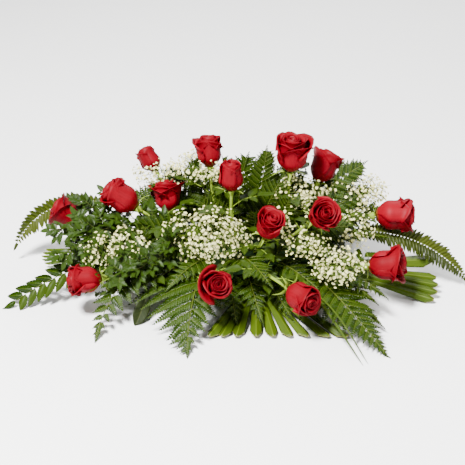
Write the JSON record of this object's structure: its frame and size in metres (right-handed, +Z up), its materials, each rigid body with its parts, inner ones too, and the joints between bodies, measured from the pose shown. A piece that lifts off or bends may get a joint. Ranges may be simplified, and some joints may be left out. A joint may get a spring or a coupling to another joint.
{
  "type": "funeral rose arrangement",
  "caption": "Low, wide spray of red roses with baby's breath, fern fronds, cut palm and leafy stems, set in wet foam in a shallow tray.",
  "frame": {"origin": "middle of the tray's flat underside, on the surface that it stands on", "axes": "+X to the arrangement's right along its length, +Y to its back, +Z up; the front faces -Y"},
  "size_m": [0.8264, 0.4947, 0.272],
  "materials": {
    "tray_plastic": "dark green moulded plastic, satin",
    "wet_foam": "soaked floral foam, dark green, matt and fine-celled",
    "rose_petal": "velvety deep red petal with a soft sheen",
    "rose_green": "fresh green stem and sepals, semi-matt",
    "fern_leaf": "dark green leathery fern, semi-gloss",
    "palm_leaf": "ribbed yellow-green palm blade, semi-matt",
    "glossy_leaf": "small dark leathery leaves, glossy",
    "babys_breath": "cream-white double florets on thin green twigs"
  },
  "bodies": {
    "root": {"babys_breath_1": "babys_breath", "babys_breath_2": "babys_breath", "babys_breath_3": "babys_breath", "babys_breath_4": "babys_breath", "babys_breath_5": "babys_breath", "babys_breath_6": "babys_breath", "babys_breath_7": "babys_breath", "babys_breath_8": "babys_breath", "bloom_01": "rose_petal", "bloom_02": "rose_petal", "bloom_03": "rose_petal", "bloom_04": "rose_petal", "bloom_05": "rose_petal", "bloom_06": "rose_petal", "bloom_07": "rose_petal", "bloom_08": "rose_petal", "bloom_09": "rose_petal", "bloom_10": "rose_petal", "bloom_11": "rose_petal", "bloom_12": "rose_petal", "bloom_13": "rose_petal", "bloom_14": "rose_petal", "bloom_15": "rose_petal", "broad_frond_left": "fern_leaf", "fern_back": "fern_leaf", "fern_back_left": "fern_leaf", "fern_back_right": "fern_leaf", "fern_front": "fern_leaf", "fern_front_left": "fern_leaf", "fern_front_right": "fern_leaf", "fern_middle": "fern_leaf", "fern_right": "fern_leaf", "fern_top_left": "fern_leaf", "fern_top_right": "fern_leaf", "foam": "wet_foam", "grass": "palm_leaf", "hanging_leaf": "glossy_leaf", "mastic_front_left": "glossy_leaf", "mastic_left": "glossy_leaf", "palm_front": "palm_leaf", "palm_left": "palm_leaf", "palm_right": "palm_leaf", "rose_stem_01": "rose_green", "rose_stem_02": "rose_green", "rose_stem_03": "rose_green", "rose_stem_04": "rose_green", "rose_stem_05": "rose_green", "rose_stem_06": "rose_green", "rose_stem_07": "rose_green", "rose_stem_08": "rose_green", "rose_stem_09": "rose_green", "rose_stem_10": "rose_green", "rose_stem_11": "rose_green", "rose_stem_12": "rose_green", "rose_stem_13": "rose_green", "rose_stem_14": "rose_green", "rose_stem_15": "rose_green", "sword_fern_left": "fern_leaf", "sword_fern_right": "fern_leaf", "tray": "tray_plastic"}
  },
  "joints": []
}
